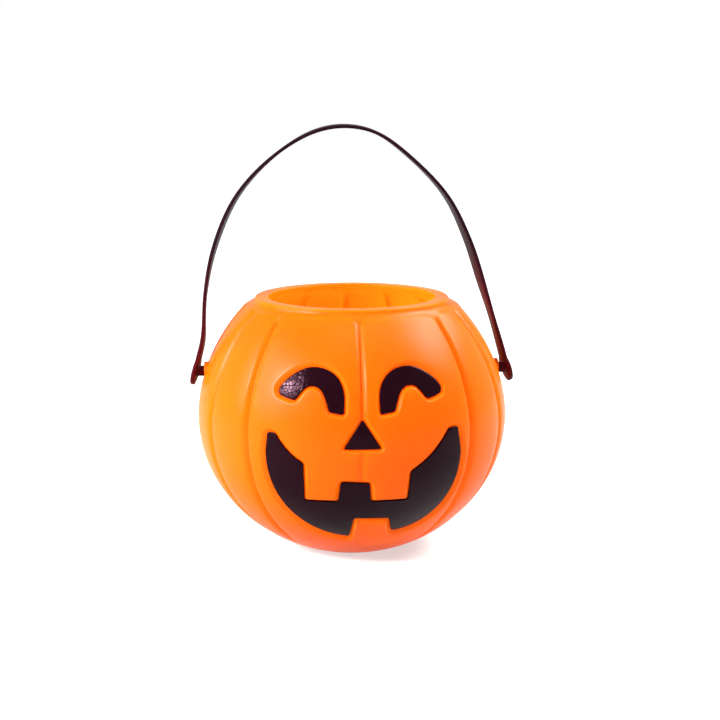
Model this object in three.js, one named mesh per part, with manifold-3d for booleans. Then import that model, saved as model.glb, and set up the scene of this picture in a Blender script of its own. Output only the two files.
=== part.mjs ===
// Halloween bucket: a hollow pumpkin-shaped pail with a jack-o'-lantern face sunk into its front,
// a black film in each sunken part of the face, and a flat strap handle snapped into the two sides.
// Millimetres, +Z up. The pail stands on z = 0, its axis is the z axis and the face looks along -Y.

import * as THREE from 'three'
import { mergeVertices } from 'three/addons/utils/BufferGeometryUtils.js'
import Module from 'manifold-3d'

// Pail body
const body_height = 126
const belly_radius = 77
const belly_height = 67.3
const rim_radius = 48
const foot_radius = 22
const shoulder_fullness = 1.83 // 2 would be an ellipse, less is flatter
const wall = 1.8
const mouth_radius = 41.5
const collar_height = 3.4
const foot_recess_radius = 14
const foot_recess_depth = 1.5

// Lobes between the grooves: sixteen places round the pail, and none beside the front one
const groove_places = 16
const grooveless_places = [1, 15]
const groove_width = 3.8
const lobe_rise = 0.9
const lobe_top_step = 1.2
const groove_start_height = 5
const groove_full_height = 16
const lower_face_groove_share = 0.35

// Face, sunk along Y, with the films in it
const face_size = 100
const recess_depth = 1.4
const film_thickness = 0.4
const film_gap = 0.3
const face_corner = 1.4

// Handle pivots
const pivot_height = 89
const stud_diameter = 5.2
const stud_clearance = 0.3
const boss_diameter = 9.2
const boss_proud = 0.6
const snap_play = 0.5
const snap_head_diameter = 7.6
const snap_head_length = 3
const snap_tip_diameter = 4.4

// Handle strap
const strap_rise = 121
const strap_width = 9
const strap_thickness = 1.7
const pad_diameter = 14
const pad_stand_off = 3.2
const left_pad_tilt = 14
const right_pad_tilt = 16

// Outlines of the face, as shares of its size: across from the middle of the pail, and up from the
// foot. Each leg is a straight line to one point, or a curve with two guide points, and the last
// leg comes back to the start.
const eye_outline = {
  start: [-0.391, 0.906],
  legs: [
    [[-0.386, 0.94], [-0.292, 1.023], [-0.219, 1.023]],
    [[-0.138, 1.023], [-0.084, 0.974], [-0.084, 0.88]],
    [[-0.087, 0.81]],
    [[-0.158, 0.821]],
    [[-0.172, 0.884], [-0.184, 0.939], [-0.239, 0.939]],
    [[-0.266, 0.939], [-0.289, 0.904], [-0.32, 0.867]],
    [[-0.384, 0.886]],
    [[-0.391, 0.906]],
  ],
}
const nose_outline = {
  start: [0, 0.789],
  legs: [[[0.091, 0.646]], [[-0.091, 0.646]], [[0, 0.789]]],
}
const mouth_outline = {
  start: [-0.456, 0.62],
  legs: [
    [[-0.447, 0.709]],
    [[-0.412, 0.709]],
    [[-0.384, 0.654], [-0.34, 0.602], [-0.281, 0.569]],
    [[-0.272, 0.37]],
    [[-0.112, 0.372]],
    [[-0.103, 0.478]],
    [[0.038, 0.472]],
    [[0.046, 0.372]],
    [[0.226, 0.37]],
    [[0.237, 0.521]],
    [[0.345, 0.59], [0.375, 0.635], [0.429, 0.718]],
    [[0.472, 0.72]],
    [[0.49, 0.6]],
    [[0.49, 0.344], [0.315, 0.196], [0.155, 0.184]],
    [[0.139, 0.27]],
    [[-0.033, 0.275]],
    [[-0.049, 0.157]],
    [[-0.27, 0.182], [-0.456, 0.366], [-0.456, 0.62]],
  ],
}

// Route of the strap between its pads: shares of the pads' reach sideways and of the rise above
// the pivots. The bent strap leans to one side.
const strap_route = [
  [-0.952, 0.130], [-0.932, 0.322], [-0.869, 0.512], [-0.726, 0.717], [-0.499, 0.876], [-0.246, 0.976],
  [-0.044, 1.0], [0.158, 0.972], [0.399, 0.857], [0.605, 0.711], [0.739, 0.538], [0.842, 0.339], [0.940, 0.136],
]
// Twist of the strap about its own length, in degrees, at shares of that length
const strap_twist = [
  [0, 12], [0.045, 12], [0.11, 3], [0.25, 12], [0.5, 0], [0.62, 4], [0.82, 16], [0.9, 8], [0.955, 12], [1, 12],
]

// Fineness of the facets
const rows_below_belly = 8
const rows_above_belly = 8
const columns_between_grooves = 2
const curve_steps = 5
const pad_steps = 9
const strap_step = 5

const film_finish = new THREE.MeshStandardMaterial({ color: '#140407', roughness: 0.22, metalness: 0 })
const shell_finish = new THREE.MeshStandardMaterial({ color: '#fd8410', roughness: 0.38, metalness: 0 })
const strap_finish = new THREE.MeshStandardMaterial({ color: '#1c0a0d', roughness: 0.35, metalness: 0 })

const wasm = await Module()
wasm.setup()

// Closed solid for cutting and joining
function solid(geometry) {
  geometry.deleteAttribute('normal')
  geometry.deleteAttribute('uv')
  const merged = mergeVertices(geometry, 1e-4)
  return new wasm.Manifold(new wasm.Mesh({
    numProp: 3,
    vertProperties: new Float32Array(merged.attributes.position.array),
    triVerts: new Uint32Array(merged.index.array),
  }))
}

function piece(name, body, material) {
  const mesh = body.getMesh()
  const geometry = new THREE.BufferGeometry()
  geometry.setAttribute('position', new THREE.BufferAttribute(new Float32Array(mesh.vertProperties), 3))
  geometry.setIndex(new THREE.BufferAttribute(new Uint32Array(mesh.triVerts), 1))
  geometry.computeVertexNormals()
  const part = new THREE.Mesh(geometry, material)
  part.name = name
  return part
}

// Side of the pail along the crests of its lobes: an ellipse below the belly, a flatter curve above
const lower_reach = belly_height / Math.sqrt(1 - (foot_radius / belly_radius) ** 2)
const crest_rim = (rim_radius + lobe_rise) / belly_radius
const upper_reach = (body_height - belly_height) / (1 - crest_rim ** shoulder_fullness) ** (1 / shoulder_fullness)

// Point of the side at a height, moved inward along the side's own normal by a depth
function side(height, depth = 0) {
  const above = height > belly_height
  const fullness = above ? shoulder_fullness : 2
  const rise = Math.abs(height - belly_height) / (above ? upper_reach : lower_reach)
  const share = (1 - rise ** fullness) ** (1 / fullness)
  const out = share ** (fullness - 1) / belly_radius
  const up = (rise ** (fullness - 1) / (above ? upper_reach : lower_reach)) * (above ? 1 : -1)
  const length = Math.hypot(out, up)
  return { radius: belly_radius * share - (depth * out) / length, height: height - (depth * up) / length }
}

// Heights of the rows of facets, from the foot to the top of the lobes
const lobe_top = body_height - collar_height - lobe_top_step
const foot_angle = Math.asin(belly_height / lower_reach)
const top_angle = Math.asin(((lobe_top - belly_height) / upper_reach) ** (shoulder_fullness / 2))
const row_heights = []
for (let i = 0; i < rows_below_belly; i++) {
  row_heights.push(belly_height - lower_reach * Math.sin(foot_angle * (1 - i / rows_below_belly)))
}
for (let i = 0; i <= rows_above_belly; i++) {
  row_heights.push(belly_height + upper_reach * Math.sin((top_angle * i) / rows_above_belly) ** (2 / shoulder_fullness))
}

// How deep the groove at one place runs at a height
function groove_depth(place, height) {
  if (grooveless_places.includes(place)) return 0
  const fade = THREE.MathUtils.smoothstep(height, groove_start_height, groove_full_height)
  const below_brow = place === 0 && height < nose_outline.start[1] * face_size
  return lobe_rise * fade * (below_brow ? lower_face_groove_share : 1)
}

// Closed body turned about the z axis from rows of radius and height that start and end on the axis.
// Each place round the pail has a column at its groove and one at each shoulder of the groove.
function turned(rows, grooved) {
  const place_angle = (2 * Math.PI) / groove_places
  const columns_per_place = columns_between_grooves + 3
  const columns = groove_places * columns_per_place
  const points = []
  const faces = []
  const rings = rows.map(row => {
    const first = points.length / 3
    if (row.radius === 0) {
      points.push(0, 0, row.height)
      return { first, single: true }
    }
    const shoulder = Math.min(Math.asin(Math.min(1, groove_width / 2 / row.radius)), place_angle / 4)
    for (let j = 0; j < columns; j++) {
      const place = Math.floor(j / columns_per_place)
      const step = j % columns_per_place
      const between = shoulder + ((place_angle - 2 * shoulder) * (step - 1)) / (columns_between_grooves + 1)
      const angle = place * place_angle + (step === 0 ? 0 : between)
      const dip = grooved && step === 0 && !row.plain ? groove_depth(place, row.height) : 0
      points.push((row.radius - dip) * Math.sin(angle), -(row.radius - dip) * Math.cos(angle), row.height)
    }
    return { first, single: false }
  })
  for (let i = 1; i < rings.length; i++) {
    const [low, high] = [rings[i - 1], rings[i]]
    for (let j = 0; j < columns; j++) {
      const next = (j + 1) % columns
      if (!low.single) faces.push(low.first + j, low.first + next, high.single ? high.first : high.first + next)
      if (!high.single) faces.push(low.single ? low.first : low.first + j, high.first + next, high.first + j)
    }
  }
  const geometry = new THREE.BufferGeometry()
  geometry.setAttribute('position', new THREE.BufferAttribute(new Float32Array(points), 3))
  geometry.setIndex(faces)
  return solid(geometry)
}

// Smooth solid body whose side lies a depth inside the lobes' crests
function core(depth) {
  const rows = row_heights.map(height => side(height, depth))
  return turned([{ radius: 0, height: rows[0].height }, ...rows, { radius: 0, height: rows.at(-1).height }], false)
}

function hollow_body() {
  const outside = row_heights.map(height => side(height))
  const inside = row_heights.map(height => side(height, wall)).reverse()
  inside.at(-1).height = wall
  const step_radius = side(body_height - collar_height).radius - lobe_rise
  return turned([
    { radius: 0, height: foot_recess_depth, plain: true },
    { radius: foot_recess_radius, height: foot_recess_depth, plain: true },
    { radius: foot_recess_radius + foot_recess_depth, height: 0, plain: true },
    ...outside,
    { radius: step_radius, height: body_height - collar_height, plain: true },
    { radius: rim_radius, height: body_height, plain: true },
    { radius: mouth_radius, height: body_height, plain: true },
    { radius: mouth_radius, height: body_height - wall, plain: true },
    { radius: rim_radius - wall, height: body_height - wall, plain: true },
    ...inside,
    { radius: foot_recess_radius + foot_recess_depth, height: wall, plain: true },
    { radius: foot_recess_radius, height: foot_recess_depth + wall, plain: true },
    { radius: 0, height: foot_recess_depth + wall, plain: true },
  ], true)
}

// Points of an outline, with its corners rounded and its inside on the left
function traced({ start, legs }) {
  const drawn = point => new THREE.Vector2(...point).multiplyScalar(face_size)
  let from = drawn(start)
  const curves = legs.map(leg => {
    const guides = leg.map(drawn)
    const curve = leg.length === 1
      ? new THREE.LineCurve(from, guides[0])
      : new THREE.CubicBezierCurve(from, ...guides)
    from = guides.at(-1)
    return curve
  })
  const points = curves.flatMap((curve, i) => {
    const trim = Math.min(face_corner / curve.getLength(), 0.45)
    const steps = legs[i].length === 1 ? 1 : curve_steps
    const along = []
    for (let k = 0; k <= steps; k++) along.push(curve.getPointAt(trim + ((1 - 2 * trim) * k) / steps))
    const after = curves[(i + 1) % curves.length]
    const turn = after.getPointAt(Math.min(face_corner / after.getLength(), 0.45))
    const corner = new THREE.QuadraticBezierCurve(along.at(-1), curve.getPointAt(1), turn)
    return [...along, corner.getPoint(1 / 3), corner.getPoint(2 / 3)]
  })
  return THREE.ShapeUtils.isClockWise(points) ? points.reverse() : points
}

function distance_to_edge(point, from, to) {
  const nearest = new THREE.Line3(new THREE.Vector3(from.x, from.y), new THREE.Vector3(to.x, to.y))
    .closestPointToPoint(new THREE.Vector3(point.x, point.y), true, new THREE.Vector3())
  return Math.hypot(nearest.x - point.x, nearest.y - point.y)
}

// Outline moved outward by a distance, or inward when it is negative
function grown(points, distance) {
  const count = points.length
  const moved = points.map((point, i) => {
    const into = point.clone().sub(points[(i + count - 1) % count]).normalize()
    const away = points[(i + 1) % count].clone().sub(point).normalize()
    const mitre = distance / (1 + into.dot(away))
    return new THREE.Vector2(point.x + (into.y + away.y) * mitre, point.y - (into.x + away.x) * mitre)
  })
  const reach = Math.abs(distance) * 0.995
  return moved.filter(spot => points.every((from, i) => distance_to_edge(spot, from, points[(i + 1) % count]) > reach))
}

// Upright outline drawn out from the middle of the pail to past its front
function prism(points) {
  const front = belly_radius + wall
  return solid(new THREE.ExtrudeGeometry(new THREE.Shape(points), { depth: front, bevelEnabled: false }).rotateX(Math.PI / 2))
}

// Sunken part of the face: the wall behind it bulges into the pail, so it stays as thick as elsewhere
function sink(shell, points) {
  const backing = prism(grown(points, wall)).intersect(core(wall / 2)).subtract(core(recess_depth + wall))
  const hollow = prism(points).subtract(core(recess_depth))
  return shell.add(backing).subtract(hollow)
}

function film(points) {
  const back = recess_depth - film_gap
  return prism(grown(points, -film_gap)).intersect(core(back - film_thickness)).subtract(core(back))
}

// Round body on the x axis at the pivots' height, from rows of radius and reach that start and end on the axis
function on_pivot(rows, facing) {
  const profile = rows.map(([radius, reach]) => new THREE.Vector2(radius, reach))
  const geometry = new THREE.LatheGeometry(profile, 24).rotateZ((-facing * Math.PI) / 2)
  return solid(geometry.translate(0, 0, pivot_height))
}

const pivot_wall = side(pivot_height).radius
const boss_face = pivot_wall + boss_proud
const seat_inner = side(pivot_height + boss_diameter / 2, wall).radius - lobe_rise
const pad_face = boss_face + pad_stand_off
const pad_reach = pad_face + strap_thickness / 2

function pail() {
  let shell = hollow_body()
  const boss = boss_diameter / 2
  for (const facing of [-1, 1]) {
    shell = shell.add(on_pivot([[0, seat_inner], [boss, seat_inner], [boss, boss_face], [0, boss_face]], facing))
  }
  for (const facing of [-1, 1]) {
    const bore = stud_diameter / 2 + stud_clearance
    const through = belly_radius + wall
    shell = shell.subtract(on_pivot([[0, mouth_radius], [bore, mouth_radius], [bore, through], [0, through]], facing))
  }
  return shell
}

// Centre line of the strap, from the tip of the left pad over the arch to the tip of the right pad
function strap_line() {
  const pad = (facing, tilt) => [-1, 0, 1].map(end => {
    const along = (end * pad_diameter) / 2
    const lean = THREE.MathUtils.degToRad(tilt)
    return [facing * (pad_reach - along * Math.sin(lean)), pivot_height + along * Math.cos(lean)]
  })
  const arch = strap_route.map(([share, rise]) => [share * pad_reach, pivot_height + rise * strap_rise])
  const route = [...pad(-1, left_pad_tilt), ...arch, ...pad(1, right_pad_tilt).reverse()]
  return new THREE.CatmullRomCurve3(route.map(([x, z]) => new THREE.Vector3(x, 0, z)), false, 'centripetal')
}

function twist_at(share) {
  const after = Math.max(1, strap_twist.findIndex(([place]) => place >= share))
  const [from, to] = [strap_twist[after - 1], strap_twist[after]]
  const turn = from[1] + (to[1] - from[1]) * THREE.MathUtils.smoothstep(share, from[0], to[0])
  return THREE.MathUtils.degToRad(turn)
}

// Flat band drawn along its centre line, with a round pad at each end and a snap stud inside each pad
function strap() {
  const line = strap_line()
  const length = line.getLength()
  const pad = pad_diameter / 2
  const stations = []
  for (let k = 1; k <= pad_steps; k++) stations.push(pad * (1 - Math.cos((Math.PI * k) / (pad_steps + 1))))
  const spans = Math.round((length - 2 * pad_diameter) / strap_step)
  for (let k = 0; k <= spans; k++) stations.push(pad_diameter + ((length - 2 * pad_diameter) * k) / spans)
  for (let k = pad_steps; k >= 1; k--) stations.push(length - stations[k - 1])

  const points = []
  const faces = []
  stations.forEach((station, i) => {
    const end = Math.min(station, length - station)
    const pad_width = 2 * Math.sqrt(Math.max(0, pad ** 2 - (pad - end) ** 2))
    const width = end < pad ? pad_width : Math.max(pad_width, strap_width)
    const centre = line.getPointAt(station / length)
    const along = line.getTangentAt(station / length)
    const turn = twist_at(station / length)
    const inward = new THREE.Vector3(along.z, 0, -along.x)
    const across = new THREE.Vector3(0, Math.cos(turn), 0).addScaledVector(inward, Math.sin(turn))
    const through = inward.multiplyScalar(Math.cos(turn)).add(new THREE.Vector3(0, -Math.sin(turn), 0))
    for (const [side_share, face_share] of [[-0.5, -0.5], [0.5, -0.5], [0.5, 0.5], [-0.5, 0.5]]) {
      const corner = centre.clone().addScaledVector(across, side_share * width)
      points.push(...corner.addScaledVector(through, face_share * strap_thickness))
    }
    if (i === 0) return
    for (let k = 0; k < 4; k++) {
      const [a, b, c, d] = [4 * (i - 1) + k, 4 * (i - 1) + ((k + 1) % 4), 4 * i + ((k + 1) % 4), 4 * i + k]
      faces.push(a, c, b, a, d, c)
    }
  })
  const last = 4 * (stations.length - 1)
  faces.push(0, 1, 2, 0, 2, 3, last, last + 2, last + 1, last, last + 3, last + 2)
  const geometry = new THREE.BufferGeometry()
  geometry.setAttribute('position', new THREE.BufferAttribute(new Float32Array(points), 3))
  geometry.setIndex(faces)

  let band = solid(geometry)
  const neck_end = seat_inner - snap_play
  const stud = [
    [0, neck_end - snap_head_length], [snap_tip_diameter / 2, neck_end - snap_head_length],
    [snap_head_diameter / 2, neck_end], [stud_diameter / 2, neck_end], [stud_diameter / 2, pad_reach], [0, pad_reach],
  ]
  for (const facing of [-1, 1]) band = band.add(on_pivot(stud, facing))
  return band
}

const eye = traced(eye_outline)
const other_eye = eye.map(point => new THREE.Vector2(-point.x, point.y)).reverse()
const nose = traced(nose_outline)
const mouth = traced(mouth_outline)

const bucket = new THREE.Group()
const shell = [eye, other_eye, nose, mouth].reduce(sink, pail())
bucket.add(piece('bucket_shell', shell, shell_finish))
bucket.add(piece('left_eye_film', film(eye), film_finish))
bucket.add(piece('right_eye_film', film(other_eye), film_finish))
bucket.add(piece('nose_film', film(nose), film_finish))
bucket.add(piece('mouth_film', film(mouth), film_finish))
bucket.add(piece('handle_strap', strap(), strap_finish))

export default bucket
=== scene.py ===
import math

import bpy
import numpy as np
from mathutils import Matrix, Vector
from mathutils.geometry import delaunay_2d_cdt


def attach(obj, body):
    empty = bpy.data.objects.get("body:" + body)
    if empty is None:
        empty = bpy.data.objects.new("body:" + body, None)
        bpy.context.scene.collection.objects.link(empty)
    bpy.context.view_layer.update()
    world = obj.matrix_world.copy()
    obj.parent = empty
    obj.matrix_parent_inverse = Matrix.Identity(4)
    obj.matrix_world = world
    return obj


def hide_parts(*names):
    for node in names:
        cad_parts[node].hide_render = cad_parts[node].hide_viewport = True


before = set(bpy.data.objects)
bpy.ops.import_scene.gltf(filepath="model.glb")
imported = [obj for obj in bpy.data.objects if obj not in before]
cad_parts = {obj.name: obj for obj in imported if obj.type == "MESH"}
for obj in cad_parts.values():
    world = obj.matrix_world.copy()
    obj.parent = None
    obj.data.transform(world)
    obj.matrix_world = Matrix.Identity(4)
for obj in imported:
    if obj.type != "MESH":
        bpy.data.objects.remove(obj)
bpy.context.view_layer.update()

# Pail: one hollow moulding of thin orange polyethylene with the face sunk into its front.
# Each lobe stands a little proud of the grooves and of the plain collar below the rim, and
# the wall behind the face bulges into the pail. A round boss on each side has a hole for the handle.
mm = 0.001
body_height = 126.0
belly_radius = 77.0
belly_height = 67.3
rim_radius = 48.0
foot_radius = 22.0
shoulder_fullness = 1.83
wall = 1.8
mouth_radius = 41.5
collar_height = 3.4
foot_recess_radius = 14.0
foot_recess_depth = 1.5
foot_rounding = 0.6
lip_rounding = 0.7

groove_places = 16
lobe_rise = 0.9
groove_depth = 1.75
lobe_shoulder = 3.0
lobe_top_shoulder = 1.3
lobe_corner = 5.0
lobe_fall = 0.6
lobe_fall_reach = 9.0
groove_bottom = 0.2
groove_start_height = 5.0
groove_full_height = 16.0
lower_face_groove_share = 0.35
chin_fade = 6.0
inner_ridge = 1.5
inner_shoulder = 2.8

recess_margin = 0.7
recess_depth = 2.4
recess_lip = 1.1
lip_fade = 3 * recess_lip
recess_slope = 1.5
recess_rounding = 0.3
recess_draft = 0.15
recess_fillet = 0.3
bulge_reach = 3.5
bulge_edge = 0.3

pivot_height = 89.0
bore_diameter = 5.8
boss_diameter = 9.2
boss_radius = boss_diameter / 2
boss_proud = 0.6
boss_rounding = 0.9

face_size = 100.0
eye_outline = [
    [(-0.391, 0.906)],
    [(-0.386, 0.940), (-0.292, 1.023), (-0.219, 1.023)],
    [(-0.138, 1.023), (-0.084, 0.974), (-0.084, 0.880)],
    [(-0.087, 0.810)],
    [(-0.158, 0.821)],
    [(-0.172, 0.884), (-0.184, 0.939), (-0.239, 0.939)],
    [(-0.266, 0.939), (-0.289, 0.904), (-0.320, 0.867)],
    [(-0.384, 0.886)],
    [(-0.391, 0.906)],
]
nose_outline = [[(0, 0.789)], [(0.091, 0.646)], [(-0.091, 0.646)], [(0, 0.789)]]
mouth_outline = [
    [(-0.456, 0.620)],
    [(-0.447, 0.709)],
    [(-0.412, 0.709)],
    [(-0.384, 0.654), (-0.340, 0.602), (-0.281, 0.569)],
    [(-0.272, 0.370)],
    [(-0.112, 0.372)],
    [(-0.103, 0.478)],
    [(0.038, 0.472)],
    [(0.046, 0.372)],
    [(0.226, 0.370)],
    [(0.237, 0.521)],
    [(0.345, 0.590), (0.375, 0.635), (0.429, 0.718)],
    [(0.472, 0.720)],
    [(0.490, 0.600)],
    [(0.490, 0.344), (0.315, 0.196), (0.155, 0.184)],
    [(0.139, 0.270)],
    [(-0.033, 0.275)],
    [(-0.049, 0.157)],
    [(-0.270, 0.182), (-0.456, 0.366), (-0.456, 0.620)],
]
face_corner = 1.4
corner_share = 0.45
corner_points = (0.2, 0.4, 0.6, 0.8)
curve_points = 200
outline_step = 0.8
face_nearness = 8.0
far_from_face = 100.0
least_reach = 0.98

lower_reach = belly_height / math.sqrt(1 - (foot_radius / belly_radius) ** 2)
crest_rim = (rim_radius + lobe_rise) / belly_radius
upper_reach = (body_height - belly_height) / (1 - crest_rim**shoulder_fullness) ** (1 / shoulder_fullness)
collar_bottom = body_height - collar_height


def side(height, depth=0.0):
    """Radius and level of the side at a height, moved inward along the side's normal by a depth."""
    above = height > belly_height
    fullness = np.where(above, shoulder_fullness, 2.0)
    reach = np.where(above, upper_reach, lower_reach)
    rise = np.abs(height - belly_height) / reach
    share = (1 - rise**fullness) ** (1 / fullness)
    out = share ** (fullness - 1) / belly_radius
    up = rise ** (fullness - 1) / reach * np.where(above, 1, -1)
    length = np.hypot(out, up)
    return belly_radius * share - depth * out / length, height - depth * up / length


def smooth(value, start, end):
    """0 up to a start, 1 from an end, and a smooth rise between them."""
    share = np.clip((value - start) / (end - start), 0, 1)
    return share * share * (3 - 2 * share)


def traced(legs, mirrored=False):
    """Points of an outline about a step apart, with its corners rounded."""
    start = np.array(legs[0][0]) * face_size
    curves = []
    for leg in legs[1:]:
        guides = [start, *(np.array(point) * face_size for point in leg)]
        t = np.linspace(0, 1, curve_points)[:, None]
        if len(guides) == 2:
            line = guides[0] * (1 - t) + guides[1] * t
        else:
            weights = [(1 - t) ** 3, 3 * t * (1 - t) ** 2, 3 * t * t * (1 - t), t**3]
            line = sum(w * guide for w, guide in zip(weights, guides))
        curves.append(line)
        start = guides[-1]

    def at(line, lengths):
        travelled = np.concatenate([[0], np.cumsum(np.hypot(*np.diff(line, axis=0).T))])
        lengths = np.clip(lengths, 0, travelled[-1])
        return np.stack([np.interp(lengths, travelled, line[:, k]) for k in (0, 1)], axis=1)

    points = []
    for line, following in zip(curves, curves[1:] + curves[:1]):
        length = np.hypot(*np.diff(line, axis=0).T).sum()
        following_length = np.hypot(*np.diff(following, axis=0).T).sum()
        trim = min(face_corner, corner_share * length)
        steps = max(1, round((length - 2 * trim) / outline_step))
        points.extend(at(line, np.linspace(trim, length - trim, steps + 1)))
        leave = at(line, np.array([length - trim]))[0]
        arrive = at(following, np.array([min(face_corner, corner_share * following_length)]))[0]
        for t in corner_points:
            points.append((1 - t) ** 2 * leave + 2 * t * (1 - t) * line[-1] + t * t * arrive)
    points = np.array(points)
    if mirrored:
        points = (points * (-1, 1))[::-1]
    x, z = points.T
    clockwise = np.sum(x * np.roll(z, -1) - z * np.roll(x, -1)) < 0
    return points[::-1] if clockwise else points


def distance_to(outline, x, z):
    """Distance of each point to an outline, negative inside it."""
    nearest = np.full(np.shape(x), np.inf)
    inside = np.zeros(np.shape(x), bool)
    for (x0, z0), (x1, z1) in zip(outline, np.roll(outline, -1, axis=0)):
        along = ((x - x0) * (x1 - x0) + (z - z0) * (z1 - z0)) / ((x1 - x0) ** 2 + (z1 - z0) ** 2)
        along = np.clip(along, 0, 1)
        nearest = np.minimum(nearest, np.hypot(x - x0 - along * (x1 - x0), z - z0 - along * (z1 - z0)))
        if z0 != z1:
            crossing = x0 + (z - z0) * (x1 - x0) / (z1 - z0)
            inside ^= ((z0 > z) != (z1 > z)) & (x < crossing)
    return np.where(inside, -nearest, nearest)


def grown(outline, distance):
    """An outline moved outward by a distance, or inward when it is negative.

    Points that end up nearer than that are past a corner, and are dropped."""
    into = outline - np.roll(outline, 1, axis=0)
    away = np.roll(outline, -1, axis=0) - outline
    into /= np.hypot(*into.T)[:, None]
    away /= np.hypot(*away.T)[:, None]
    mitre = distance / (1 + np.sum(into * away, axis=1))[:, None]
    moved = outline + np.stack([into[:, 1] + away[:, 1], -into[:, 0] - away[:, 0]], axis=1) * mitre
    reach = np.abs(distance_to(outline, *moved.T))
    return moved[reach > abs(distance) * least_reach]


face = {
    "left_eye": traced(eye_outline),
    "right_eye": traced(eye_outline, mirrored=True),
    "nose": traced(nose_outline),
    "mouth": traced(mouth_outline),
}


def face_distance(x, z):
    """Distance of each point of the front to the nearest recess of the face, negative inside it."""
    near = np.full(np.shape(x), far_from_face)
    for outline in face.values():
        low, high = outline.min(axis=0) - face_nearness, outline.max(axis=0) + face_nearness
        close = (x > low[0]) & (x < high[0]) & (z > low[1]) & (z < high[1])
        near[close] = np.minimum(near[close], distance_to(outline, x[close], z[close]) - recess_margin)
    return near


def beside_groove(angle, height):
    """Distance along the side from the nearest groove, in millimetres, and the place of that groove.

    The two places beside the front one have no groove."""
    place_angle = 2 * math.pi / groove_places
    place = np.round(angle / place_angle)
    for gap in (1, groove_places - 1):
        here = place % groove_places == gap
        before, after = (0, 2) if gap == 1 else (-2, 0)
        middle = place_angle * (before + after) / 2
        place = np.where(here, np.where(angle > middle, after, before), place)
    return side(height)[0] * np.abs(angle - place * place_angle), place


def groove_strength(height, place):
    """Full strength of a groove up the side: it fades in above the foot and is faint across the chin."""
    brow = nose_outline[0][0][1] * face_size
    chin = np.where(place == 0, lower_face_groove_share, 1.0)
    start = smooth(height, groove_start_height, groove_full_height)
    return start * (chin + (1 - chin) * smooth(height, brow - chin_fade, brow))


def lobe_share(angle, height, shoulder):
    """1 on the lobes, 0 at the bottom of the grooves between them and above their tops."""
    beside, place = beside_groove(angle, height)
    below = np.maximum(collar_bottom - height, 0)
    to_side, to_top = np.minimum(beside, lobe_corner), np.minimum(below, lobe_corner)
    rounded = lobe_corner - np.hypot(lobe_corner - to_side, lobe_corner - to_top)
    edge = np.where((beside < lobe_corner) & (below < lobe_corner), rounded, np.minimum(beside, below))
    edge = np.hypot(np.maximum(edge, 0), groove_bottom) - groove_bottom
    reach = lobe_top_shoulder + (shoulder - lobe_top_shoulder) * below / (below + beside + groove_bottom)
    lobe = 1 - (1 - np.clip(edge / reach, 0, 1)) ** 2
    return 1 - (1 - lobe) * groove_strength(height, place)


def sunk(edge):
    """How deep the recess is at a distance from its outline: rounded lip, steep wall, small fillet."""
    fall = recess_slope * (recess_lip - np.maximum(edge, 0))
    rounded = (fall + np.hypot(fall, recess_rounding)) / 2 * smooth(edge, lip_fade, recess_lip)
    low = recess_depth - recess_fillet
    wall_down = rounded + (low - rounded) * np.clip(-edge / recess_draft, 0, 1)
    floor = np.clip((-edge - recess_draft) / recess_fillet, 0, 1)
    filleted = low + recess_fillet * np.sqrt(1 - (1 - floor) ** 2)
    return np.where(edge >= 0, rounded, np.where(edge > -recess_draft, wall_down, filleted))


pivot_wall = float(side(np.array(pivot_height))[0])
boss_face = pivot_wall + boss_proud
seat_inner = float(side(np.array(pivot_height + boss_radius), wall)[0]) - lobe_rise

# Points this near to a radius count as on it
hair = 0.01


def edge_of_face(angle, height):
    """Distance of each point of the side to the nearest recess of the face, negative inside it."""
    distance = face_distance(side(height)[0] * np.sin(angle), height)
    return np.where(np.cos(angle) > 0, distance, far_from_face)


def outside(angle, height):
    """Points of the outer surface, in millimetres."""
    edge = edge_of_face(angle, height)
    radius, level = side(height, sunk(edge))
    at_top = smooth(height, collar_bottom - lobe_corner, collar_bottom)
    groove = (groove_depth + (lobe_rise - groove_depth) * at_top) * smooth(edge, 0.0, recess_lip)
    radius = radius - groove * (1 - lobe_share(angle, height, lobe_shoulder))
    beside, place = beside_groove(angle, height)
    fall = lobe_fall * (1 - np.clip(beside / lobe_fall_reach, 0, 1)) ** 2 * groove_strength(height, place)
    radius = radius - fall * (1 - at_top) * smooth(edge, 0.0, recess_lip)
    x, y = radius * np.sin(angle), -radius * np.cos(angle)
    from_pivot = np.hypot(y, level - pivot_height)
    rounding = np.clip((from_pivot - boss_radius + boss_rounding) / boss_rounding, 0, 1)
    boss = boss_face - boss_rounding * (1 - np.sqrt(1 - rounding**2))
    on_boss = from_pivot < boss_radius + hair
    x = np.where(on_boss, np.sign(x) * np.maximum(np.abs(x), boss), x)
    return np.stack([x, y, level], axis=-1)


def inside(angle, height):
    """Points of the inner surface, in millimetres: ridges behind the grooves, bulges behind the face."""
    edge = edge_of_face(angle, height)
    radius, level = side(height, wall + recess_depth * smooth(edge, bulge_reach, bulge_edge))
    radius = radius - inner_ridge * (1 - lobe_share(angle, height, inner_shoulder))
    x, y = radius * np.sin(angle), -radius * np.cos(angle)
    from_pivot = np.hypot(y, level - pivot_height)
    on_boss = from_pivot < boss_radius + hair
    x = np.where(on_boss, np.sign(x) * np.minimum(np.abs(x), seat_inner), x)
    return np.stack([x, y, level], axis=-1)


side_samples = 2000


def even_heights(low, high, step):
    """Heights about an even step apart along the side."""
    table = np.linspace(low, high, side_samples)
    radius, level = side(table)
    travelled = np.concatenate([[0], np.cumsum(np.hypot(np.diff(radius), np.diff(level)))])
    count = max(1, round(travelled[-1] / step))
    return np.interp(np.linspace(0, travelled[-1], count + 1), travelled, table)


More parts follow.
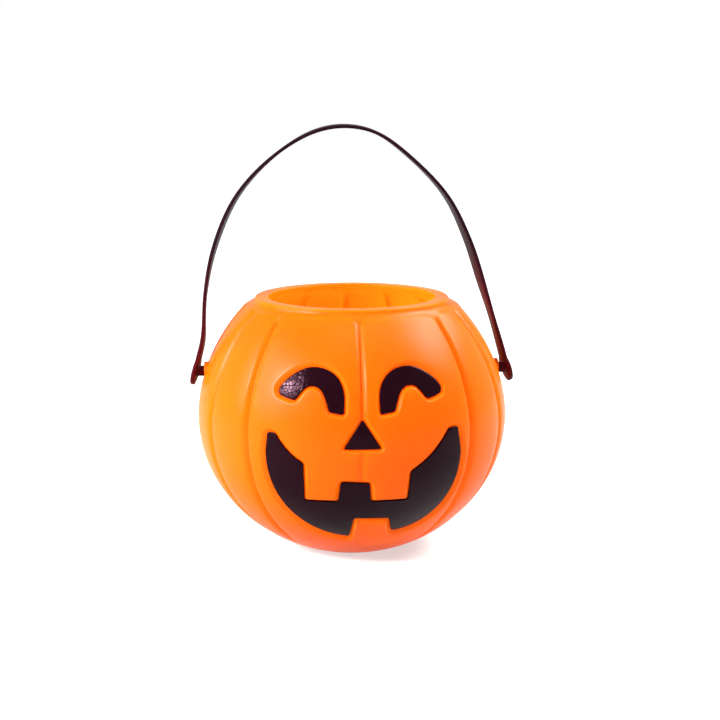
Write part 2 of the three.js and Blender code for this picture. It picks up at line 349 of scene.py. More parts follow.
# Columns of the mesh stand close together across each groove and wider between the grooves
groove_columns = np.array([0, 0.3, 0.7, 1.2, 1.8, 2.5, 3.4, 4.4])
wide_columns = 5
place_width = 2 * math.pi * belly_radius / groove_places
half_place = [
    *groove_columns,
    *np.linspace(groove_columns[-1], place_width / 2, wide_columns + 1)[1:],
]
columns = []
for place in range(-groove_places // 2, groove_places // 2):
    middle = place * place_width
    columns.extend(middle - np.array(half_place[:0:-1]))
    columns.extend(middle + np.array(half_place[:-1]))
columns = np.array(sorted(set(np.round(columns, 6)))) / belly_radius

# Rows of the mesh stand closer together across the face, and closest at the tops of the lobes
face_low, face_high = 12.0, 106.0
lobe_top_start = 112.0
foot_step, face_step, brow_step, lobe_top_step, inner_step = 2.2, 1.7, 1.4, 0.5, 2.0
outer_heights = np.concatenate([
    even_heights(0.0, face_low, foot_step)[:-1],
    even_heights(face_low, face_high, face_step)[:-1],
    even_heights(face_high, lobe_top_start, brow_step)[:-1],
    even_heights(lobe_top_start, collar_bottom, lobe_top_step),
])
lowest_inside = 3.2
inner_heights = even_heights(lowest_inside, collar_bottom, inner_step)


def arc(centre, radius, start, end, steps):
    """Points of an arc on the radius-level plane, from one angle to another in degrees."""
    angles = np.radians(np.linspace(start, end, steps + 1))
    return [(centre[0] + radius * math.cos(a), centre[1] + radius * math.sin(a)) for a in angles]


def ring(radius, level):
    """Points of a plain round ring, in millimetres."""
    levels = np.full(len(columns), level)
    return np.stack([radius * np.sin(columns), -radius * np.cos(columns), levels], axis=-1)


floor_inside = foot_recess_depth + wall
lip_centre = (rim_radius - lip_rounding, body_height - lip_rounding)
inner_lip_share = 0.8
inner_lip = lip_rounding * inner_lip_share
mouth_corner = 0.3
hub_radius = 0.6
push_up_margin = 0.8
foot_ring_loop = 3.0
inner_floor_margin = 2.0
floor_edge_rise = 0.25
floor_middle_rise = 0.1
foot_slope_top = foot_recess_radius - foot_rounding / 2
foot_slope_foot = foot_recess_radius + foot_recess_depth + foot_rounding / 2
foot_profile = [
    (hub_radius, foot_recess_depth),
    (foot_recess_radius - push_up_margin, foot_recess_depth),
    *arc((foot_slope_top, foot_recess_depth - foot_rounding), foot_rounding, 90, 45, 2),
    *arc((foot_slope_foot, foot_rounding), foot_rounding, 225, 270, 2),
    (foot_radius - foot_ring_loop, 0.0),
]
rim_profile = [
    *arc(lip_centre, lip_rounding, -45, 90, 6),
    ((rim_radius + mouth_radius) / 2, body_height),
    *arc((mouth_radius + inner_lip, body_height - inner_lip), inner_lip, 90, 180, 4),
    (mouth_radius, body_height - wall + mouth_corner),
    (mouth_radius + mouth_corner, body_height - wall),
    (rim_radius - wall, body_height - wall),
]
inner_floor = [
    (foot_radius - inner_floor_margin, wall + floor_edge_rise),
    (foot_recess_radius + foot_recess_depth, wall + floor_middle_rise),
    (foot_recess_radius, floor_inside),
    (foot_recess_radius - inner_floor_margin, floor_inside),
    (hub_radius, floor_inside),
]

rings = [ring(*point) for point in foot_profile]
outer_start = len(rings)
rings += [outside(columns, np.full(len(columns), height)) for height in outer_heights]
rings += [ring(*point) for point in rim_profile]
inner_start = len(rings)
rings += [inside(columns, np.full(len(columns), height)) for height in inner_heights[::-1]]
rings += [ring(*point) for point in inner_floor]


def circle(radius, count=48):
    """Points of a ring round the pivot, on the y-z plane."""
    turns = np.linspace(0, 2 * math.pi, count, endpoint=False)
    return np.stack([radius * np.cos(turns), pivot_height + radius * np.sin(turns)], axis=1)


def nearest_index(values, wanted):
    """Index of the value nearest to the wanted one."""
    return int(np.abs(np.asarray(values) - wanted).argmin())


merge_distance = 1e-5


def patch(heights, column_range, height_range, loops, keep):
    """Triangles over a rectangle of the grid, with loops of points (angle, height) in it.

    Returns the points that aren't in the grid, and triangles whose corners are
    ("grid", row, column) or ("new", i)."""
    left, right = column_range
    low, high = height_range
    given = []
    names = []
    edges = []
    index = {}
    kept = keep(*np.meshgrid(columns[left : right + 1], heights[low : high + 1]))
    kept[[0, -1], :] = True
    kept[:, [0, -1]] = True
    for row, column in np.argwhere(kept) + (low, left):
        index[row, column] = len(given)
        given.append((columns[column] * belly_radius, heights[row]))
        names.append(("grid", row, column))
    for row in (low, high):
        edges += [(index[row, c], index[row, c + 1]) for c in range(left, right)]
    for column in (left, right):
        edges += [(index[r, column], index[r + 1, column]) for r in range(low, high)]
    new = []
    for loop in loops:
        first = len(given)
        for i, (angle, height) in enumerate(loop):
            given.append((angle * belly_radius, height))
            names.append(("new", len(new)))
            new.append((angle, height))
            edges.append((first + i, first + (i + 1) % len(loop)))
    made = delaunay_2d_cdt([Vector(point) for point in given], edges, [], 0, merge_distance)
    points, triangles, origins = made[0], made[2], made[3]
    meaning = []
    for point, origin in zip(points, origins):
        if origin:
            meaning.append(names[min(origin)])
        else:
            meaning.append(("new", len(new)))
            new.append((point.x / belly_radius, point.y))
    return np.array(new), [[meaning[corner] for corner in triangle] for triangle in triangles]


def angle_across(x, height):
    """Angle round the pail at which the front's surface lies at x."""
    return np.arcsin(x / side(height)[0])


vertices = [point for points in rings for point in points]
width = len(columns)
faces = []
cut_out = np.zeros((len(rings), width), bool)


def grid_index(start, heights, flipped, row, column):
    """Index of a point of the grid, whose rows run downward where it is flipped."""
    row = len(heights) - 1 - row if flipped else row
    return (start + row) * width + column


def add_patch(start, heights, flipped, surface, angles, height_span, loops, keep, drop=None):
    """Adds a patch to the pail and returns where its new points start."""
    left, right = (nearest_index(columns, angle) for angle in angles)
    low, high = (nearest_index(heights, height) for height in height_span)
    new, triangles = patch(heights, (left, right), (low, high), loops, keep)
    first = len(vertices)
    vertices.extend(surface(new[:, 0], new[:, 1]))
    for triangle in triangles:
        corners = [
            first + place[0] if kind == "new" else grid_index(start, heights, flipped, *place)
            for kind, *place in triangle
        ]
        if drop is not None and drop(np.mean([vertices[corner] for corner in corners], axis=0)):
            continue
        faces.append(corners[::-1] if flipped else corners)
    for row in range(low, high):
        grid_row = start + row if not flipped else start + len(heights) - 2 - row
        cut_out[grid_row, left:right] = True
    return first


# Loops of points follow each recess: over the lip, down the wall, across the fillet and in the floor
face_half_angle = 45
lip_loops = [2.0, 1.6, 1.35, 1.18, 1.04, 0.9, 0.75, 0.5, 0.25, 0.05]
fillet_middle = 0.4 * recess_fillet
floor_loop = 1.0
outer_gap, inner_gap = 0.5, 0.7
ring_distances = [
    *(share * recess_lip for share in lip_loops),
    0.0,
    -recess_draft,
    -recess_draft - fillet_middle,
    -recess_draft - recess_fillet,
    -floor_loop,
]
face_loops = []
for outline in face.values():
    for distance in ring_distances:
        x, z = grown(outline, recess_margin + distance).T
        face_loops.append(np.stack([angle_across(x, z), z], axis=1))


def clear_of_face(angle, height):
    """True where a point of the grid is clear of the loops round the recesses."""
    distance = edge_of_face(angle, height)
    return (distance > ring_distances[0] + outer_gap) | (distance < -floor_loop - inner_gap)


add_patch(
    outer_start,
    outer_heights,
    False,
    outside,
    np.radians((-face_half_angle, face_half_angle)),
    (face_low, face_high),
    face_loops,
    clear_of_face,
)

# Rings of points round each pivot, from the side in to the edge of the hole
bore_radius = bore_diameter / 2
outer_ring = boss_radius + 1.0
foot_of_boss = boss_radius + 0.03
boss_rings = [
    outer_ring,
    boss_radius + 0.15,
    foot_of_boss,
    boss_radius,
    boss_radius - 0.12,
    boss_radius - boss_rounding,
    bore_radius + 0.4,
    bore_radius,
]
seat_rings = [outer_ring, foot_of_boss, boss_radius, bore_radius + 0.7, bore_radius]
clear_radius = 6.4
patch_reach = 12.0
patch_rise = 10.0
bore_starts = []
for start, heights, flipped, surface, depth, radii in (
    (outer_start, outer_heights, False, outside, 0.0, boss_rings),
    (inner_start, inner_heights, True, inside, wall, seat_rings),
):
    level_table = side(heights, depth)[1]
    for facing in (-1, 1):
        loops = []
        for radius in radii:
            y, z = circle(radius).T
            height = np.interp(z, level_table, heights)
            angle = facing * np.arccos(-y / side(height, depth)[0])
            loops.append(np.stack([angle, height], axis=1))

        def clear_of_boss(angle, height):
            radius, level = side(height, depth)
            return np.hypot(radius * np.cos(angle), level - pivot_height) > clear_radius

        def in_bore(point):
            return math.hypot(point[1], point[2] - pivot_height) < bore_radius - hair

        middle = facing * math.pi / 2
        reach = patch_reach / belly_radius
        span = (pivot_height - patch_rise, pivot_height + patch_rise)
        first = add_patch(
            start,
            heights,
            flipped,
            surface,
            (middle - reach, middle + reach),
            span,
            loops,
            clear_of_boss,
            in_bore,
        )
        bore_starts.append(first + sum(len(loop) for loop in loops[:-1]))

bore_count = len(circle(bore_radius))
for outer_first, inner_first, facing in zip(bore_starts[:2], bore_starts[2:], (-1, 1)):
    for i in range(bore_count):
        j = (i + 1) % bore_count
        quad = [outer_first + i, outer_first + j, inner_first + j, inner_first + i]
        faces.append(quad if facing > 0 else quad[::-1])

for i in range(len(rings) - 1):
    for j in range(width):
        if not cut_out[i, j]:
            after = (j + 1) % width
            faces.append([i * width + j, i * width + after, (i + 1) * width + after, (i + 1) * width + j])
faces.append(list(range(width))[::-1])
faces.append([(len(rings) - 1) * width + j for j in range(width)])


def mesh_piece(name, vertices, faces):
    """A smooth mesh object from points in millimetres, without the points that no face uses."""
    vertices = np.asarray(vertices) * mm
    used = np.unique(np.concatenate([np.asarray(face) for face in faces]))
    renumber = np.zeros(len(vertices), int)
    renumber[used] = np.arange(len(used))
    mesh = bpy.data.meshes.new(name)
    mesh.from_pydata(vertices[used].tolist(), [], [renumber[face].tolist() for face in faces])
    mesh.validate()
    mesh.shade_smooth()
    piece = bpy.data.objects.new(name, mesh)
    bpy.context.scene.collection.objects.link(piece)
    return piece


def linear(code):
    """Linear colour of an sRGB hex colour."""
    channels = [int(code[i : i + 2], 16) / 255 for i in (1, 3, 5)]
    return [c / 12.92 if c <= 0.04045 else ((c + 0.055) / 1.055) ** 2.4 for c in channels] + [1.0]


def add(tree, kind, inputs=None, **settings):
    """Adds a node with its settings, values and links."""
    node = tree.nodes.new(kind)
    for name, value in settings.items():
        setattr(node, name, value)
    for socket, value in (inputs or {}).items():
        if isinstance(value, bpy.types.NodeSocket):
            tree.links.new(value, node.inputs[socket])
        else:
            node.inputs[socket].default_value = value
    return node


# Patterns of the moulded surface, in millimetres. Its real grain and the upright lines that the
# mould leaves are finer than a picture shows, and are drawn as coarse as they need to be to show.
cloud_width = 35.0
wave_width = 9.0
grain_width = 0.9
line_width = 1.1
line_stretch = 0.12


def polyethylene():
    """Moulded orange polyethylene: softly glossy, and light spreads a little way into the wall,
    so that lit parts turn yellow and parts in shade stay red."""
    material = bpy.data.materials.new("moulded_orange_polyethylene")
    material.use_nodes = True
    tree = material.node_tree
    tree.nodes.clear()
    place = add(tree, "ShaderNodeTexCoord").outputs["Object"]
    clouds = add(tree, "ShaderNodeTexNoise", {
        "Vector": place, "Scale": 1 / (cloud_width * mm), "Detail": 2.0,
    })
    colour = add(tree, "ShaderNodeMix", {
        "Factor": clouds.outputs["Fac"], "A": linear("#ff6002"), "B": linear("#ff6904"),
    }, data_type="RGBA")
    grain = add(tree, "ShaderNodeTexNoise", {
        "Vector": place, "Scale": 1 / (grain_width * mm), "Detail": 3.0,
    })
    waves = add(tree, "ShaderNodeTexNoise", {
        "Vector": place, "Scale": 1 / (wave_width * mm), "Detail": 1.0,
    })
    rough = add(tree, "ShaderNodeMapRange", {
        "Value": grain.outputs["Fac"], "To Min": 0.24, "To Max": 0.34,
    })
    upright = add(tree, "ShaderNodeMapping", {"Vector": place, "Scale": (1.0, 1.0, line_stretch)})
    lines = add(tree, "ShaderNodeTexNoise", {
        "Vector": upright.outputs["Vector"], "Scale": 1 / (line_width * mm), "Detail": 2.0,
    })
    fine = add(tree, "ShaderNodeBump", {
        "Height": grain.outputs["Fac"], "Strength": 0.25, "Distance": 0.05 * mm,
    })
    drawn = add(tree, "ShaderNodeBump", {
        "Height": lines.outputs["Fac"],
        "Strength": 0.4,
        "Distance": 0.12 * mm,
        "Normal": fine.outputs["Normal"],
    })
    soft = add(tree, "ShaderNodeBump", {
        "Height": waves.outputs["Fac"],
        "Strength": 0.4,
        "Distance": 0.25 * mm,
        "Normal": drawn.outputs["Normal"],
    })
    shader = add(tree, "ShaderNodeBsdfPrincipled", {
        "Base Color": colour.outputs["Result"],
        "Roughness": rough.outputs["Result"],
        "IOR": 1.5,
        "Specular IOR Level": 0.12,
        "Subsurface Weight": 0.4,
        "Subsurface Radius": (1.0, 0.35, 0.1),
        "Subsurface Scale": 5 * mm,
        "Normal": soft.outputs["Normal"],
    })
    through = add(tree, "ShaderNodeBsdfTranslucent", {
        "Color": linear("#ffe05a"), "Normal": soft.outputs["Normal"],
    })
    wall_light = add(tree, "ShaderNodeMixShader", {
        0: 0.38, 1: shader.outputs["BSDF"], 2: through.outputs["BSDF"],
    })
    add(tree, "ShaderNodeOutputMaterial", {"Surface": wall_light.outputs["Shader"]})
    return material


pail = mesh_piece("bucket_body", vertices, faces)
pail.data.materials.append(polyethylene())
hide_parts("bucket_shell")
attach(pail, "pail")

# Face films: thin black glossy vinyl, cut to the shapes of the sunken face and stuck down in
# it by hand, so each one is a little wrinkled and lies just inside the wall round it.
film_front = 1.2
film_thickness = 0.9
film_edge = 0.12
film_margin = 0.5
film_grid = 1.1

# Slow waves, and fine creases that are strong left of one place across the face and faint right of
# the other, all in millimetres
film_wave_width = 14.0
crease_width = 1.6
creased_to = -33.0
smooth_from = -20.0


def film_mesh(name, outline):
    """One film: its front and back follow the side at their depths, and its front edge is rounded."""
    loops = [outline, grown(outline, -film_edge), grown(outline, -film_margin)]
    low, high = outline.min(axis=0), outline.max(axis=0)
    x, z = np.meshgrid(np.arange(low[0], high[0], film_grid), np.arange(low[1], high[1], film_grid))
    x, z = x.ravel(), z.ravel()
    within = distance_to(outline, x, z) < -2 * film_margin
    points = [Vector(point) for loop in loops for point in loop]
    points += [Vector(point) for point in zip(x[within], z[within])]
    edges = []
    first = 0
    for loop in loops:
        edges += [(first + i, first + (i + 1) % len(loop)) for i in range(len(loop))]
        first += len(loop)
    made = delaunay_2d_cdt(points, edges, [list(range(len(outline)))], 1, merge_distance)
    flat = np.array([point[:] for point in made[0]])
    triangles = made[2]
    where = {origin: new for new, origins in enumerate(made[3]) for origin in origins}
    angle = angle_across(flat[:, 0], flat[:, 1])
    inward = -distance_to(outline, *flat.T)
    drop = film_edge * (1 - np.sqrt(1 - (1 - np.clip(inward / film_edge, 0, 1)) ** 2))
    layers = []
    for depth in (film_front + drop, np.full(len(flat), film_front + film_thickness)):
        radius, level = side(flat[:, 1], depth)
        layers.append(np.stack([radius * np.sin(angle), -radius * np.cos(angle), level], axis=-1))
    count = len(flat)
    faces = [list(triangle) for triangle in triangles]
    faces += [[corner + count for corner in triangle[::-1]] for triangle in triangles]
    border = [where[i] for i in range(len(outline))]
    for here, after in zip(border, border[1:] + border[:1]):
        faces.append([here, here + count, after + count, after])
    return mesh_piece(name, np.concatenate(layers), faces)


def vinyl():
    """Black vinyl film: glossy, with the fine creases and slow waves of a film stuck on by hand,
    which break up the reflections."""
    material = bpy.data.materials.new("black_vinyl_film")
    material.use_nodes = True
    tree = material.node_tree
    tree.nodes.clear()
    place = add(tree, "ShaderNodeTexCoord").outputs["Object"]
    waves = add(tree, "ShaderNodeTexNoise", {
        "Vector": place, "Scale": 1 / (film_wave_width * mm), "Detail": 2.0,
    })
    creases = add(tree, "ShaderNodeTexVoronoi", {
        "Vector": place, "Scale": 1 / (crease_width * mm), "Detail": 0.0,
    }, feature="DISTANCE_TO_EDGE")
    ridges = add(tree, "ShaderNodeMapRange", {
        "Value": creases.outputs["Distance"], "From Max": 0.12, "To Min": 1.0, "To Max": 0.0,
    })
    across = add(tree, "ShaderNodeSeparateXYZ", {"Vector": place})
    where = add(tree, "ShaderNodeMapRange", {
        "Value": across.outputs["X"],
        "From Min": creased_to * mm,
        "From Max": smooth_from * mm,
        "To Min": 0.24,
        "To Max": 0.04,
    })
    soft = add(tree, "ShaderNodeBump", {
        "Height": waves.outputs["Fac"], "Strength": 0.5, "Distance": 0.8 * mm,
    })
    sharp = add(tree, "ShaderNodeBump", {
        "Height": ridges.outputs["Result"], "Strength": where.outputs["Result"],
        "Distance": 0.2 * mm, "Normal": soft.outputs["Normal"],
    })
    tint = add(tree, "ShaderNodeMix", {
        "Factor": waves.outputs["Fac"], "A": linear("#100106"), "B": linear("#1a030a"),
    }, data_type="RGBA")
    shader = add(tree, "ShaderNodeBsdfPrincipled", {
        "Base Color": tint.outputs["Result"],
        "Roughness": 0.15,
        "IOR": 1.53,
        "Specular IOR Level": 0.08,
        "Specular Tint": linear("#f4b4cf"),
        "Normal": sharp.outputs["Normal"],
    })
    add(tree, "ShaderNodeOutputMaterial", {"Surface": shader.outputs["BSDF"]})
    return material


film_finish = vinyl()
for name, outline in face.items():
    film = film_mesh(name, outline)
    film.data.materials.append(film_finish)
    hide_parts(name + "_film")
    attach(film, "pail")

# Handle: one flat strap of soft black polyethylene, moulded straight and bent over the pail, with
# a round pad at each end. A stud with a snap head on each pad is pushed through the hole in the side.
strap_rise = 120.9
strap_width = 9.0
strap_thickness = 1.7
strap_rounding = 0.45
pad_diameter = 14.0
pad_stand_off = 3.2
left_pad_tilt = 14.0
right_pad_tilt = 16.0
stud_diameter = 5.2
snap_play = 0.5
snap_head_diameter = 7.6
snap_head_length = 3.0
snap_tip_diameter = 4.4
snap_tip_corner = 0.3
snap_head_edge = [(0.0, 0.5), (0.1, 0.1), (0.4, 0.0)]
stud_hub = 0.4
stud_fillet = 0.2
stud_root = 0.6
stud_root_depth = 0.3
stud_sides = 40
strap_route = [
    (-0.952, 0.130), (-0.932, 0.322), (-0.869, 0.512), (-0.726, 0.717), (-0.499, 0.876),
    (-0.246, 0.976), (-0.044, 1.0), (0.158, 0.972), (0.399, 0.857), (0.605, 0.711),
    (0.739, 0.538), (0.842, 0.339), (0.940, 0.136),
]
strap_twist = [
    (0, 12), (0.045, 12), (0.11, 3), (0.25, 12), (0.5, 0),
    (0.62, 4), (0.82, 16), (0.9, 8), (0.955, 12), (1, 12),
]
strap_steps = 240
pad_steps = 22
corner_steps = 3
direction_step = 0.05
rounding_limit = 2.2
pad_face = boss_face + pad_stand_off
pad_reach = pad_face + strap_thickness / 2


def pad_points(facing, tilt):
    """Bottom, middle and top of a pad's centre line, leaning over the pail by a tilt."""
    lean = math.radians(tilt)
    ends = (-pad_diameter / 2, 0, pad_diameter / 2)
    return [(facing * (pad_reach - s * math.sin(lean)), pivot_height + s * math.cos(lean)) for s in ends]


def centripetal(points, per_leg=60):
    """Dense points of a centripetal Catmull-Rom curve through the points."""
    points = np.array(points, float)
    points = np.vstack([2 * points[0] - points[1], points, 2 * points[-1] - points[-2]])
    dense = []
    for p0, p1, p2, p3 in zip(points, points[1:], points[2:], points[3:]):
        t0 = 0.0
        t1 = t0 + math.sqrt(np.hypot(*(p1 - p0)))
        t2 = t1 + math.sqrt(np.hypot(*(p2 - p1)))
        t3 = t2 + math.sqrt(np.hypot(*(p3 - p2)))
        t = np.linspace(t1, t2, per_leg, endpoint=False)[:, None]
        a1 = (t1 - t) / (t1 - t0) * p0 + (t - t0) / (t1 - t0) * p1
        a2 = (t2 - t) / (t2 - t1) * p1 + (t - t1) / (t2 - t1) * p2
        a3 = (t3 - t) / (t3 - t2) * p2 + (t - t2) / (t3 - t2) * p3
        b1 = (t2 - t) / (t2 - t0) * a1 + (t - t0) / (t2 - t0) * a2
        b2 = (t3 - t) / (t3 - t1) * a2 + (t - t1) / (t3 - t1) * a3
        dense.append((t2 - t) / (t2 - t1) * b1 + (t - t1) / (t2 - t1) * b2)
    return np.vstack([*dense, points[-2]])


def twist_at(share):
    """Twist of the strap at a share of its length, in radians."""
    for (start, first), (end, last) in zip(strap_twist, strap_twist[1:]):
        if share <= end:
            return math.radians(first + (last - first) * float(smooth(share, start, end)))
    return math.radians(strap_twist[-1][1])


def strap_mesh():
    """The strap with its two round ends, swept along its route with rounded corners."""
    arch = [(across * pad_reach, pivot_height + rise * strap_rise) for across, rise in strap_route]
    line = centripetal([*pad_points(-1, left_pad_tilt), *arch, *pad_points(1, right_pad_tilt)[::-1]])
    travelled = np.concatenate([[0], np.cumsum(np.hypot(*np.diff(line, axis=0).T))])
    length = travelled[-1]
    pad = pad_diameter / 2
    ends = [pad * (1 - math.cos(math.pi * k / (pad_steps + 1))) for k in range(1, pad_steps + 1)]
    between = np.linspace(pad_diameter, length - pad_diameter, strap_steps)
    stations = [*ends, *between, *(length - end for end in ends[::-1])]
    around = 4 * (corner_steps + 1)
    points = []
    faces = []
    for i, station in enumerate(stations):
        end = min(station, length - station)
        round_width = 2 * math.sqrt(max(0, pad**2 - (pad - end) ** 2))
        wide = round_width if end < pad else max(round_width, strap_width)
        middle = [np.interp(station, travelled, line[:, k]) for k in (0, 1)]
        centre = Vector((middle[0], 0, middle[1]))
        ahead = [np.interp(station + direction_step, travelled, line[:, k]) for k in (0, 1)]
        behind = [np.interp(station - direction_step, travelled, line[:, k]) for k in (0, 1)]
        along = Vector((ahead[0] - behind[0], 0, ahead[1] - behind[1])).normalized()
        turn = twist_at(station / length)
        inward = Vector((along.z, 0, -along.x))
        across = Vector((0, math.cos(turn), 0)) + inward * math.sin(turn)
        through = inward * math.cos(turn) + Vector((0, -math.sin(turn), 0))
        rounding = min(strap_rounding, wide / rounding_limit)
        half_wide, half_thick = wide / 2 - rounding, strap_thickness / 2 - rounding
        for start, sx, sy in ((180, -1, -1), (270, 1, -1), (0, 1, 1), (90, -1, 1)):
            for k in range(corner_steps + 1):
                a = math.radians(start + 90 * k / corner_steps)
                u = sx * half_wide + rounding * math.cos(a)
                v = sy * half_thick + rounding * math.sin(a)
                points.append(centre + across * u + through * v)
        if i:
            for k in range(around):
                a, b = around * (i - 1) + k, around * (i - 1) + (k + 1) % around
                faces.append([a, a + around, b + around, b])
    last = around * (len(stations) - 1)
    faces.append(list(range(around)))
    faces.append([last + k for k in range(around)][::-1])
    return mesh_piece("handle_band", [point[:] for point in points], faces)


def stud_mesh(facing):
    """One stud, turned about the pivot's line: a tapered snap head, a neck and a root in the pad."""
    neck_end = seat_inner - snap_play
    neck = stud_diameter / 2
    tip = neck_end - snap_head_length
    profile = [
        (stud_hub, tip),
        (snap_tip_diameter / 2 - snap_tip_corner, tip),
        (snap_tip_diameter / 2, tip + snap_tip_corner),
        *((snap_head_diameter / 2 - inset, neck_end - before) for inset, before in snap_head_edge),
        (neck + stud_fillet, neck_end),
        (neck, neck_end + stud_fillet),
        (neck, pad_face - stud_root),
        (neck + stud_root, pad_face + stud_root_depth),
    ]
    count = stud_sides
    points = []
    faces = []
    for i, (radius, reach) in enumerate(profile):
        for k in range(count):
            turn = 2 * math.pi * k / count
            points.append((facing * reach, radius * math.cos(turn), pivot_height + radius * math.sin(turn)))
            if i:
                a, b = (i - 1) * count + k, (i - 1) * count + (k + 1) % count
                faces.append([a, b, b + count, a + count][:: facing])
    first = list(range(count))
    last = [(len(profile) - 1) * count + k for k in range(count)]
    faces.append(first[::-facing])
    faces.append(last[::facing])
    return mesh_piece("handle_stud", points, faces)


# Slow waves and a grain that is drawn coarser than the real one, so that it shows, in millimetres.
# The painted reflection of the orange pail, a maroon, is full up to one height and gone from the other.
strap_wave_width = 16.0
strap_grain_width = 1.2
pail_reflection_full_to = 95.0
pail_reflection_gone_from = 150.0


def soft_polyethylene():
    """Black moulded polyethylene: a soft sheen with a fine grain, nearly black over the top, with a
    painted reflection of the orange pail, a dark maroon, toward the pads."""
    material = bpy.data.materials.new("black_strap_polyethylene")
    material.use_nodes = True
    tree = material.node_tree
    tree.nodes.clear()
    place = add(tree, "ShaderNodeTexCoord").outputs["Object"]
    grain = add(tree, "ShaderNodeTexNoise", {
        "Vector": place, "Scale": 1 / (strap_grain_width * mm), "Detail": 3.0,
    })
    waves = add(tree, "ShaderNodeTexNoise", {
        "Vector": place, "Scale": 1 / (strap_wave_width * mm), "Detail": 1.0,
    })
    dark = add(tree, "ShaderNodeMix", {
        "Factor": waves.outputs["Fac"], "A": linear("#100208"), "B": linear("#1c050c"),
    }, data_type="RGBA")
    height = add(tree, "ShaderNodeSeparateXYZ", {"Vector": place})
    # Painted reflection: the orange pail's reflected and bounced light, painted into the strap's colour as
    # a maroon, full low down near the pads and gone over the top
    painted_pail_reflection = add(tree, "ShaderNodeMapRange", {
        "Value": height.outputs["Z"],
        "From Min": pail_reflection_full_to * mm,
        "From Max": pail_reflection_gone_from * mm,
        "To Min": 0.65,
        "To Max": 0.0,
    })
    tint = add(tree, "ShaderNodeMix", {
        "Factor": painted_pail_reflection.outputs["Result"], "A": dark.outputs["Result"], "B": linear("#52090f"),
    }, data_type="RGBA")
    rough = add(tree, "ShaderNodeMapRange", {
        "Value": grain.outputs["Fac"], "To Min": 0.48, "To Max": 0.62,
    })
    bump = add(tree, "ShaderNodeBump", {
        "Height": grain.outputs["Fac"], "Strength": 0.3, "Distance": 0.06 * mm,
    })
    shader = add(tree, "ShaderNodeBsdfPrincipled", {
        "Base Color": tint.outputs["Result"],
        "Roughness": rough.outputs["Result"],
        "IOR": 1.5,
        "Specular IOR Level": 0.12,
        "Specular Tint": linear("#ecb4c6"),
        "Normal": bump.outputs["Normal"],
    })
    add(tree, "ShaderNodeOutputMaterial", {"Surface": shader.outputs["BSDF"]})
    return material


handle = strap_mesh()
for facing in (-1, 1):
    stud = stud_mesh(facing)
    union = handle.modifiers.new("stud", "BOOLEAN")
    union.operation = "UNION"
    union.solver = "EXACT"
    union.object = stud
    with bpy.context.temp_override(object=handle, active_object=handle):
        bpy.ops.object.modifier_apply(modifier=union.name)
    bpy.data.objects.remove(stud)
handle.data.shade_smooth()
handle.data.materials.append(soft_polyethylene())
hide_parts("handle_strap")
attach(handle, "handle")

# Floor: a wide sheet of white card that the pail stands on. It shows white to the camera and in
# reflections, and keeps the pail's soft shadow.
floor_size = 6.0
pale_radius = 0.15
white_radius = 0.8
white = linear("#ffffff")


def background_share(tree):
    """1 where the camera, a reflection or a view through something sees a surface, else 0."""
    path = add(tree, "ShaderNodeLightPath")
    seen = path.outputs["Is Camera Ray"]
    for ray in ("Is Glossy Ray", "Is Transmission Ray"):
        either = add(tree, "ShaderNodeMath", {0: seen, 1: path.outputs[ray]}, operation="MAXIMUM")
        seen = either.outputs["Value"]
    return seen


def white_card():
    """White card: matt, and lit a little from itself where the camera or a reflection sees it."""
    material = bpy.data.materials.new("white_card")
    material.use_nodes = True
    tree = material.node_tree
    tree.nodes.clear()
    place = add(tree, "ShaderNodeTexCoord").outputs["Object"]
    away = add(tree, "ShaderNodeVectorMath", {0: place}, operation="LENGTH")
    level = add(tree, "ShaderNodeMapRange", {
        "Value": away.outputs["Value"],
        "From Min": pale_radius,
        "From Max": white_radius,
        "To Min": 0.58,
        "To Max": 1.0,
    })
    card = add(tree, "ShaderNodeBsdfDiffuse", {"Color": linear("#b0baba")})
    shine = add(tree, "ShaderNodeEmission", {"Color": white, "Strength": level.outputs["Result"]})
    both = add(tree, "ShaderNodeAddShader", {0: card.outputs["BSDF"], 1: shine.outputs["Emission"]})
    shown = add(tree, "ShaderNodeMixShader", {
        0: background_share(tree), 1: card.outputs["BSDF"], 2: both.outputs["Shader"],
    })
    add(tree, "ShaderNodeOutputMaterial", {"Surface": shown.outputs["Shader"]})
    material.cycles.emission_sampling = "NONE"
    return material


half = floor_size / 2
corners = [(-half, -half, 0), (half, -half, 0), (half, half, 0), (-half, half, 0)]
floor_mesh = bpy.data.meshes.new("floor")
floor_mesh.from_pydata(corners, [], [(0, 1, 2, 3)])
floor = bpy.data.objects.new("floor", floor_mesh)
bpy.context.scene.collection.objects.link(floor)
floor.data.materials.append(white_card())

# Light: a white room with white softboxes a metre away. A large one and a small one stand at the
# left, one hangs overhead, and three shine from high at the right, two of them from a little
# behind, which also light the inside.
middle_of_pail = Vector((0, 0, 0.075))
softbox_distance = 1.0


def seen_from(azimuth, elevation):
    """Direction to a place that lies round from the front by an azimuth and up by an elevation."""
    a, e = math.radians(azimuth), math.radians(elevation)
    return Vector((math.sin(a) * math.cos(e), -math.cos(a) * math.cos(e), math.sin(e)))


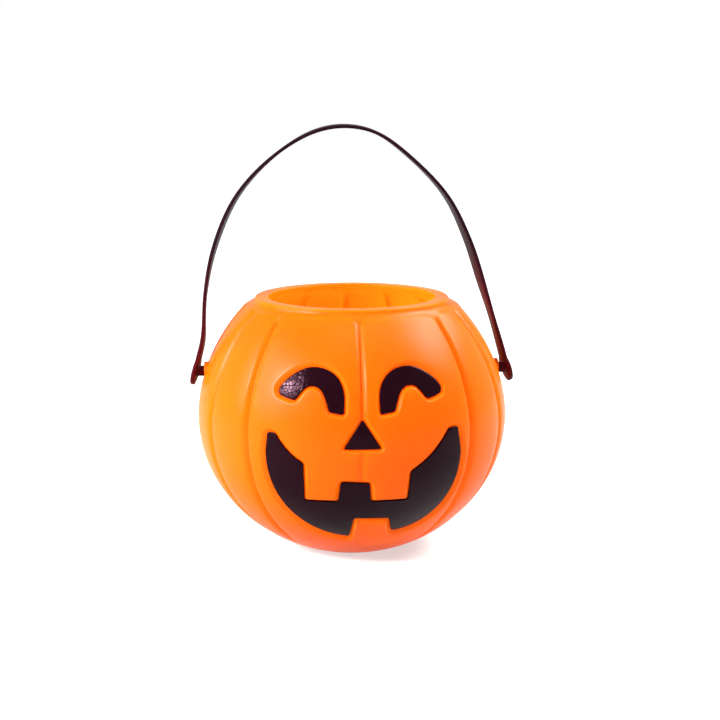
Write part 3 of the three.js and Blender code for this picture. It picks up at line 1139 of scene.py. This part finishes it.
def softbox(name, azimuth, elevation, wide, tall, power):
    """A white area lamp that faces the middle of the pail, with its size in metres."""
    light = bpy.data.lights.new(name, "AREA")
    light.shape = "RECTANGLE"
    light.size = wide
    light.size_y = tall
    light.energy = power
    lamp = bpy.data.objects.new(name, light)
    back = seen_from(azimuth, elevation)
    lamp.location = middle_of_pail + back * softbox_distance
    lamp.rotation_euler = back.to_track_quat("Z", "Y").to_euler()
    bpy.context.scene.collection.objects.link(lamp)


softbox("left_softbox", -76, 24, 0.65, 0.6, 12.5)
softbox("left_front_softbox", -57, 27, 0.18, 0.14, 12.5)
softbox("top_softbox", 8, 70, 0.8, 0.5, 2.3)
softbox("right_softbox", 84, 44, 0.3, 0.3, 6.5)
softbox("right_side_softbox", 102, 46, 0.8, 0.7, 11)
softbox("back_softbox", 116, 48, 0.5, 0.5, 9)

world = bpy.data.worlds.new("white_room")
bpy.context.scene.world = world
world.use_nodes = True
world.node_tree.nodes.clear()
room = add(world.node_tree, "ShaderNodeBackground", {"Color": white, "Strength": 0.085})
backdrop = add(world.node_tree, "ShaderNodeBackground", {"Color": white, "Strength": 1.0})
shown = add(world.node_tree, "ShaderNodeMixShader", {
    0: background_share(world.node_tree), 1: room.outputs["Background"], 2: backdrop.outputs["Background"],
})
add(world.node_tree, "ShaderNodeOutputWorld", {"Surface": shown.outputs["Shader"]})

# Camera: a long lens one metre away, a little above the pail and a little to its left, aimed near
# the line through the handle's studs.
camera_aim = Vector((4.14, -0.30, 93.45)) * mm
camera_azimuth = -4.1
camera_elevation = 10.2
camera_distance = 1.0
camera_data = bpy.data.cameras.new("camera")
camera_data.sensor_width = 36
camera_data.lens = 100
camera = bpy.data.objects.new("camera", camera_data)
back = seen_from(camera_azimuth, camera_elevation)
camera.location = camera_aim + back * camera_distance
camera.rotation_euler = back.to_track_quat("Z", "Y").to_euler()
bpy.context.scene.collection.objects.link(camera)
bpy.context.scene.camera = camera
bpy.context.scene.view_settings.view_transform = "Standard"
